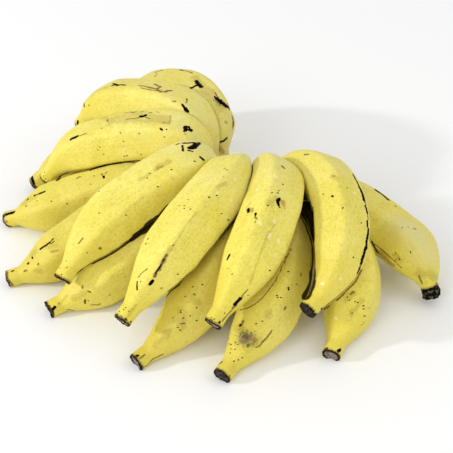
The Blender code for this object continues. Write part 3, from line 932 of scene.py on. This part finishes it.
def ripe_peel():
    """Banana skin, patterned in the finger's own straightened coordinates, in mm."""
    material, tree, shader = new_finish("ripe_peel")
    place = add(tree, "vector", attribute_name="straight")
    names = (*MARK_KINDS, "from_root", "to_dry", "depth", "ridge", "dull")
    here = {name: add(tree, "number", attribute_name=name) for name in names}

    def ragged(field, pattern, swing):
        """A field with its edge broken up: plus the pattern's swing to either side of its middle."""
        return add(tree, "sum", field, add(tree, "times", add(tree, "less", pattern, 0.5), swing))

    def tinted(colour, amount, share, tint):
        """The colour with a tint over it, as strong as the amount times the share."""
        return add(tree, "mix", add(tree, "times", amount, share), colour, linear(tint))

    # The noises' scales are one over the size of their features in mm.
    clouds = add(tree, "noise", place, 1 / 24.0, 3.0)
    blotches = add(tree, "noise", place, 1 / 6.5, 4.0)
    fibres = add(tree, "noise", add(tree, "stretch", place, FIBRE_STRETCH), 1 / 1.5, 2.0)
    grain = add(tree, "noise", place, 1 / 0.8, 2.0)
    tears = add(tree, "noise", place, 1 / 1.5, 3.0)
    mottle = add(tree, "noise", place, 1 / 1.8, 3.0)

    # Lemon yellow that drifts in clouds, duller in small blotches, with faint lengthwise fibres and
    # a fine grain, deeper towards the neck and the stalk.
    # Each tint: its pattern, the limits that it steps between, its share and its colour.
    colour = two_tone(tree, clouds, 0.35, 0.7, linear("#E8DA5C"), linear("#F1E46F"))
    for pattern, low, high, share, tint in (
        (blotches, 0.48, 0.72, 0.35, "#D8CB4C"),
        (fibres, 0.5, 0.8, 0.22, "#C0AC3C"),
        (mottle, 0.45, 0.75, 0.26, "#B9A63A"),
        (grain, 0.48, 0.7, 0.16, "#A8922E"),
        (grain, 0.5, 0.3, 0.16, "#FFFBC4"),
        (mottle, 0.5, 0.25, 0.2, "#FAF2A0"),
        (here["to_dry"], 60.0, 12.0, 0.5, "#D9C63C"),
    ):
        colour = tinted(colour, add(tree, "step", pattern, low, high), share, tint)

    # A pale bloom of wax on the shoulder that is partly a painted sheen, brown stalks, a dull olive tint
    # that is partly painted shade, and rubbed ridges.
    shoulder = add(tree, "step", here["from_root"], 100.0, 30.0)
    # Painted sheen as well as wax: a paler tint on the shoulders.
    bloom_and_painted_sheen = add(tree, "times", shoulder, add(tree, "step", clouds, 0.25, 0.6))
    colour = tinted(colour, bloom_and_painted_sheen, 0.55, "#DDD58E")
    colour = tinted(colour, add(tree, "step", here["from_root"], 26.0, 6.0), 0.6, "#B3A04A")
    # Painted shade as well as the skin's own dull tone: an olive tint for each finger.
    colour = tinted(colour, here["dull"], 0.5, "#B9A33E")
    rubbed = add(tree, "times", here["ridge"], add(tree, "step", blotches, 0.45, 0.65))
    colour = tinted(colour, rubbed, 0.16, "#A08A36")

    # Haze, scuffs, bruises and drops of wax: soft-edged, broken up by the skin's own grain. The haze
    # is partly a painted sheen, and one scuff on upper_7 is painted shade.
    haze_and_painted_sheen = add(tree, "step", ragged(here["bloom_and_painted_sheen"], clouds, 0.8), 0.1, 0.9)
    colour = tinted(colour, haze_and_painted_sheen, 0.45, "#DCD6AC")
    soft = add(tree, "step", ragged(here["soft"], blotches, 1.6), 0.2, 0.85)
    colour = tinted(colour, soft, 0.32, "#A38B32")
    specks = add(tree, "times", soft, add(tree, "step", grain, 0.5, 0.66))
    colour = tinted(colour, specks, 0.35, "#8A7230")
    bruise = add(tree, "step", ragged(here["bruise"], mottle, 1.4), 0.15, 0.9)
    colour = tinted(colour, bruise, 0.8, "#544841")
    pale = add(tree, "step", ragged(here["pale"], grain, 0.6), 0.3, 0.8)
    colour = tinted(colour, pale, 0.5, "#FBF6CF")
    near_root = add(tree, "step", here["from_root"], 120.0, 60.0)
    flecks = add(tree, "times", dots(tree, place, 5.5, -0.6, 0.75), near_root)
    colour = tinted(colour, flecks, 0.35, "#F8F3C4")

    # Freckles: fine ones in drifts, and a few larger, darker ones.
    drifts = add(tree, "step", add(tree, "noise", place, 1 / 30.0, 1.0), 0.42, 0.62)
    fine = add(tree, "times", dots(tree, place, 2.4, 0.0, 0.5), drifts)
    colour = tinted(colour, fine, 0.5, "#8E7629")
    colour = tinted(colour, dots(tree, place, 5.2, -1.3, 0.42), 0.55, "#5F4A20")

    # Scratches and scars with sharp, ragged edges, and painted shade in the crevices between fingers.
    rust = add(tree, "step", ragged(here["rust"], blotches, 1.0), 0.25, 0.75)
    colour = tinted(colour, rust, 0.6, "#9A6A28")
    brown = add(tree, "step", ragged(here["brown"], tears, 0.8), 0.34, 0.58)
    colour = tinted(colour, brown, 0.8, "#5E3F1B")
    halo = add(tree, "step", ragged(here["black"], tears, 0.9), 0.2, 0.46)
    colour = tinted(colour, halo, 0.6, "#7A5A22")
    black = add(tree, "step", ragged(here["black"], tears, 0.8), 0.4, 0.5)
    colour = tinted(colour, black, 1.0, "#030202")
    # Painted shade: near-black along the crevice marks between the fingers.
    crevice = add(tree, "step", ragged(here["crevice"], blotches, 0.3), 0.3, 0.55)
    colour = tinted(colour, crevice, 0.96, "#1C0F08")
    # Painted shade: darker the deeper a point lies in the crevice between two pressed fingers.
    deep = add(tree, "step", ragged(here["depth"], blotches, 0.25), 0.55, 0.85)
    colour = tinted(colour, deep, 0.9, "#3A2510")

    # The neck's edge, where the living skin goes brown, and the dried crust beyond it, whose grey-green
    # patches are painted highlights as well as the crust's own grey.
    edge = ragged(ragged(here["to_dry"], fibres, 3.0), grain, 1.2)
    colour = tinted(colour, add(tree, "step", edge, 1.4, 0.2), 0.6, "#7C6228")
    dried = add(tree, "step", edge, 0.2, -0.3)
    # Painted highlights as well as the crust's own grey: grey-green patches on the black.
    crust_and_painted_highlights = two_tone(tree, mottle, 0.5, 0.64, linear("#0C0907"), linear("#5C5946"))
    tree.links.new(add(tree, "mix", dried, colour, crust_and_painted_highlights), shader.inputs["Base Color"])

    # A satin gloss, which dead tissue has lost: the scars and the dried neck, and the painted shade of
    # the crevices too.
    rough = add(tree, "sum", add(tree, "times", black, 0.2), add(tree, "times", clouds, 0.1))
    tree.links.new(add(tree, "sum", rough, PEEL_ROUGHNESS), shader.inputs["Roughness"])
    shader.inputs["IOR"].default_value = PEEL_IOR
    dead = add(tree, "most", add(tree, "most", black, crevice), dried)
    gloss = add(tree, "less", PEEL_GLOSS, add(tree, "times", dead, DEAD_LOSS))
    tree.links.new(gloss, shader.inputs["Specular IOR Level"])

    # Relief: fibres and grain stand out, scars are sunk, and the crust is rough.
    height = add(tree, "sum", add(tree, "times", fibres, 0.5), add(tree, "times", grain, 0.25))
    height = add(tree, "less", height, add(tree, "times", black, 0.8))
    crumbs = add(tree, "times", add(tree, "times", dried, mottle), 5.0)
    bump = add(tree, "bump", add(tree, "sum", height, crumbs), PEEL_RELIEF, PEEL_RELIEF * MM)
    tree.links.new(bump, shader.inputs["Normal"])
    return material


peel = ripe_peel()
for order, name in enumerate(FINGERS):
    finger = closed_tube(name.replace("_", "_peel_"), peels[name], peel)
    straight = grown[name][2]
    along = straight[..., 2]
    write_attribute(finger, "straight", straight + (PEEL_SHIFT * order, 0.0, 0.0))
    write_attribute(finger, "from_root", along)
    write_attribute(finger, "to_dry", along[-1, 0] - along - DRY_NECKS.get(name, DRY_RIM))
    write_attribute(finger, "depth", depths[name])
    write_attribute(finger, "ridge", grown[name][3])
    write_attribute(finger, "dull", np.full_like(along, DULLNESS_AND_PAINTED_SHADE.get(name, 0.0)))
    for kind, strength in mark_fields(name, order).items():
        write_attribute(finger, kind, strength.reshape(along.shape))
    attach(finger, "root")
    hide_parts(name.replace("_", "_finger_"))

# The blossom ends: what is left of each flower, dried hard on the tip of the finger. A black,
# crumbled rim stands round a shallow dish of grey scar tissue, streaked outwards from its middle.
BLOSSOM_RADIUS = 6.3
BLOSSOM_SIDES = 84
# Share of the radius and height in mm, from the neck up over the rim and down into the dish.
BLOSSOM_PROFILE = [
    (0.80, 0.4), (0.88, 1.0), (0.93, 1.5), (0.96, 1.9), (0.965, 2.3), (0.95, 2.65), (0.91, 2.9), (0.86, 3.0),
    (0.82, 2.85), (0.76, 2.6), (0.68, 2.4), (0.58, 2.25), (0.46, 2.2), (0.34, 2.2), (0.22, 2.3), (0.08, 2.4),
]
# The rim's waves round it, how far they sway the radius as a share, and how high in mm they tear
# its edge, which is centred on one share of the radius and is about as wide as the other.
BLOSSOM_WAVES = (2, 3, 5, 8, 13, 21)
BLOSSOM_SEED = 100
WAVINESS = 0.035
TORN_HEIGHT = 0.4
TORN_CENTRE = 0.9
TORN_WIDTH = 0.16
# The sides that the torn edge is turned against the waves, so that the two don't match.
TORN_TURN = 9
# How much a shrivelled neck narrows its blossom end, for its own share, and the rim even more.
NARROWING = 0.8
RIM_NARROWING = 0.6
# The dish's streaks: how far they curl in radians, the circle on which their noise is read, whose
# size sets how close they stand, and how fast the noise changes outwards.
STREAK_CURL = 0.35
STREAK_CIRCLE = 4.0
STREAK_RUN = 0.25
# The dish lies inside this share of the radius and the neck's skin below this height in mm, and
# each fades out over the value that follows it.
DISH_SHARE = 0.80
DISH_FADE = 0.125
RIM_FOOT = 2.5
RIM_FADE = 0.8
# How black the dish has dried, and how much of the yellow-brown neck still stands round the rim,
# both from 0 to 1.
CHARRED = {"upper_3": 0.8, "upper_7": 0.8, "upper_8": 0.85, "lower_4": 0.4, "lower_6": 0.72}
USUAL_CHAR = 0.45
FRESH = {
    "upper_2": 0.8, "upper_4": 1.0, "upper_5": 0.9, "upper_6": 0.9, "upper_7": 0.4, "lower_2": 0.5,
    "lower_3": 0.7,
}
USUAL_FRESH = 0.3
BLOSSOM_ROUGHNESS = 0.85
BLOSSOM_GLOSS = 0.25
CRUMB_STRENGTH = 0.6
CRUMB_HEIGHT = 0.5
BLOSSOM_SHIFT = 20.0


def dry_blossom():
    """Dried flower tissue: dull and crumbled, black on the rim, grey-beige streaks in the dish."""
    material, tree, shader = new_finish("dry_blossom")
    streaks = add(tree, "noise", add(tree, "vector", attribute_name="streak"), 1.0, 3.0)
    crumbs = add(tree, "noise", add(tree, "vector", attribute_name="straight"), 1 / 1.1, 3.0)
    dish = add(tree, "sum", add(tree, "number", attribute_name="dish"), crumbs)
    fresh = add(tree, "sum", add(tree, "number", attribute_name="fresh"), crumbs)
    grey = two_tone(tree, streaks, 0.38, 0.6, linear("#4B4436"), linear("#A09680"))
    green = two_tone(tree, streaks, 0.35, 0.6, linear("#B9A33C"), linear("#7A6428"))
    colour = two_tone(tree, crumbs, 0.5, 0.7, linear("#120E0A"), linear("#4A3E2B"))
    colour = two_tone(tree, dish, 0.75, 1.05, colour, grey)
    colour = two_tone(tree, fresh, 0.85, 1.05, colour, green)
    tree.links.new(colour, shader.inputs["Base Color"])
    shader.inputs["Roughness"].default_value = BLOSSOM_ROUGHNESS
    shader.inputs["Specular IOR Level"].default_value = BLOSSOM_GLOSS
    bump = add(tree, "bump", add(tree, "sum", streaks, crumbs), CRUMB_STRENGTH, CRUMB_HEIGHT * MM)
    tree.links.new(bump, shader.inputs["Normal"])
    return material


def blossom_rings(name, seed):
    """The profile turned round the finger's last direction, with a wavy, crumbled rim.

    Seeded sines sway the radius, and the same sines, turned a little, lift and drop the edge
    within a bell round the rim.
    """
    line, _ = centre_line(name)
    ahead, up, across = (axes[-1] for axes in cross_axes(line))
    turn = np.linspace(0.0, 2.0 * np.pi, BLOSSOM_SIDES, endpoint=False)[None, :]
    share, height = (np.array(column)[:, None] for column in zip(*BLOSSOM_PROFILE))
    draw = np.random.default_rng(BLOSSOM_SEED + seed)
    folds = sum(
        np.sin(count * turn + draw.uniform(0.0, MOST_PHASE)) * draw.uniform(0.4, 1.0) / np.sqrt(count)
        for count in BLOSSOM_WAVES
    )
    outer = np.clip(height / BLOSSOM_LENGTH, 0.0, 1.0)
    _, wrinkle = SHRIVELLED.get(name, (1.0, 0.0))
    narrowed = 1.0 - NARROWING * wrinkle * (1.0 + RIM_NARROWING * outer)
    reach = BLOSSOM_RADIUS * share * (1.0 + WAVINESS * folds * outer) * narrowed
    bell = np.exp(-(((share - TORN_CENTRE) / TORN_WIDTH) ** 2))
    torn = TORN_HEIGHT * np.roll(folds, TORN_TURN) * bell * outer
    foot = line[-1] - ahead * BLOSSOM_LENGTH
    rings = foot + spokes(reach, turn, up, across) + (height + torn)[..., None] * ahead
    curled = turn + STREAK_CURL * reach / BLOSSOM_RADIUS
    circle = np.full_like(reach, STREAK_CIRCLE)
    return rings, straightened(reach, turn, height), straightened(circle, curled, STREAK_RUN * reach)


def all_round(values):
    """One value for each ring, at all of its points."""
    return np.repeat(values[:, None], BLOSSOM_SIDES, axis=1)


blossom = dry_blossom()
dish_share, rim_height = np.array(BLOSSOM_PROFILE).T
ring_order = np.arange(len(BLOSSOM_PROFILE))
in_dish = ease((DISH_SHARE - dish_share) / DISH_FADE) * (ring_order > dish_share.argmax())
below_rim = ease((RIM_FOOT - rim_height) / RIM_FADE) * (ring_order <= rim_height.argmax())
for order, name in enumerate(FINGERS):
    rings, straight, streak = blossom_rings(name, order)
    rings[..., 2] = np.maximum(rings[..., 2], 0.0)
    tip = closed_tube(name.replace("_", "_dry_blossom_"), rings, blossom)
    write_attribute(tip, "straight", straight + (BLOSSOM_SHIFT * order, 0.0, 0.0))
    write_attribute(tip, "streak", streak + (BLOSSOM_SHIFT * order, 0.0, 0.0))
    write_attribute(tip, "dish", all_round((1.0 - CHARRED.get(name, USUAL_CHAR)) * in_dish))
    write_attribute(tip, "fresh", all_round(FRESH.get(name, USUAL_FRESH) * below_rim))
    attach(tip, "root")
    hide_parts(name.replace("_", "_blossom_end_"))

# The crown: the cushion of stalk tissue in which all the fingers' stalks meet, cut off the bunch
# with a knife. Its skin is the stalks' own, dull yellow going brown, and the cut has dried.
CROWN_CUT_AZIMUTH = np.radians(47.0)
CROWN_CUT_DISTANCE = 11.0
CUT_ROUNDING = 1.5
CUT_FADE = 1.2
CROWN_RINGS = 130
CROWN_SIDES = 220
POLE_ANGLE = 0.01
SHORTEST_RAY = 6.0
LONGEST_RAY = 40.0
CROWN_HALVINGS = 12
# A sleeve's radius at the root, as a share of the stalk's, and what it loses by its end.
SLEEVE_LENGTH = 11.0
SLEEVE_SHARE = 1.03
SLEEVE_TAPER = 0.12
SLEEVE_BLEND = 3.0
CROWN_ROUGHNESS = 0.7
# The relief's strength, and its height in mm.
CROWN_RELIEF = 0.6

crown_centre = np.array(CROWN_CENTRE) + HAND_SHIFT
out_of_cut = np.array([np.cos(CROWN_CUT_AZIMUTH), np.sin(CROWN_CUT_AZIMUTH), 0.0])


def smooth_least(first, second, width):
    """The lesser of two distances, with the corner between them rounded over the width."""
    overlap = np.clip(0.5 + 0.5 * (second - first) / width, 0.0, 1.0)
    return second * (1.0 - overlap) + first * overlap - width * overlap * (1.0 - overlap)


def past_cut(points):
    """Distance beyond the plane of the knife's cut."""
    return (points - crown_centre) @ out_of_cut - CROWN_CUT_DISTANCE


def crown_depth(points):
    """Signed distance, roughly, to the cushion with a sleeve round the root of each stalk.

    An ellipsoid is joined to tapered sleeves by rounded corners, and the cut's plane trims it.
    """
    scaled = (points - crown_centre) / CROWN_HALF_SIZE
    inside = (np.linalg.norm(scaled, axis=-1) - 1.0) * CROWN_HALF_SIZE[2]
    for name in FINGERS:
        line, distance = centre_line(name)
        sleeve = line[distance < SLEEVE_LENGTH]
        start, run = sleeve[0], sleeve[-1] - sleeve[0]
        share = np.clip((points - start) @ run / (run @ run), 0.0, 1.0)
        wall = np.linalg.norm(points - start - share[..., None] * run, axis=-1)
        sleeve_radius = STALK_RADIUS * (SLEEVE_SHARE - SLEEVE_TAPER * share)
        inside = smooth_least(inside, wall - sleeve_radius, SLEEVE_BLEND)
    return -smooth_least(-inside, -past_cut(points), CUT_ROUNDING)


def crown_rings():
    """Rays from the crown's middle, each as long as the depth allows, found by halving."""
    polar = np.linspace(POLE_ANGLE, np.pi - POLE_ANGLE, CROWN_RINGS)[:, None]
    turn = np.linspace(0.0, 2.0 * np.pi, CROWN_SIDES, endpoint=False)[None, :]
    rays = straightened(np.sin(polar), turn, -np.cos(polar))
    low, high = np.full(rays.shape[:2], SHORTEST_RAY), np.full(rays.shape[:2], LONGEST_RAY)
    for _ in range(CROWN_HALVINGS):
        middle = (low + high) / 2.0
        within = crown_depth(crown_centre + rays * middle[..., None]) < 0.0
        low, high = np.where(within, middle, low), np.where(within, high, middle)
    return crown_centre + rays * low[..., None]


def crown_skin():
    """Stalk tissue: dull yellow-brown skin, and a dark, dry cut with pale and dark strands."""
    material, tree, shader = new_finish("crown_skin")
    place = add(tree, "vector", attribute_name="place_mm")
    clouds = add(tree, "noise", place, 1 / 9.0, 3.0)
    grain = add(tree, "noise", place, 1 / 1.1, 3.0)
    strands = add(tree, "noise", place, 1 / 2.6, 4.0)
    skin = two_tone(tree, clouds, 0.35, 0.65, linear("#B9A551"), linear("#8C7434"))
    skin = two_tone(tree, grain, 0.58, 0.7, skin, linear("#5C4420"))
    face = two_tone(tree, grain, 0.35, 0.65, linear("#3B2A1A"), linear("#7D6444"))
    face = two_tone(tree, strands, 0.52, 0.66, face, linear("#1E150D"))
    face = two_tone(tree, strands, 0.42, 0.32, face, linear("#A08A62"))
    cut = add(tree, "number", attribute_name="cut")
    rim = add(tree, "sum", cut, add(tree, "times", clouds, 0.3))
    tree.links.new(two_tone(tree, rim, 0.55, 0.8, skin, face), shader.inputs["Base Color"])
    shader.inputs["Roughness"].default_value = CROWN_ROUGHNESS
    bump = add(tree, "bump", grain, CROWN_RELIEF, CROWN_RELIEF * MM)
    tree.links.new(bump, shader.inputs["Normal"])
    return material


rings = crown_rings()
crown = closed_tube("crown_cushion", rings, crown_skin())
write_attribute(crown, "cut", ease(1.0 + past_cut(rings) / CUT_FADE))
write_attribute(crown, "place_mm", rings)
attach(crown, "root")
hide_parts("crown")
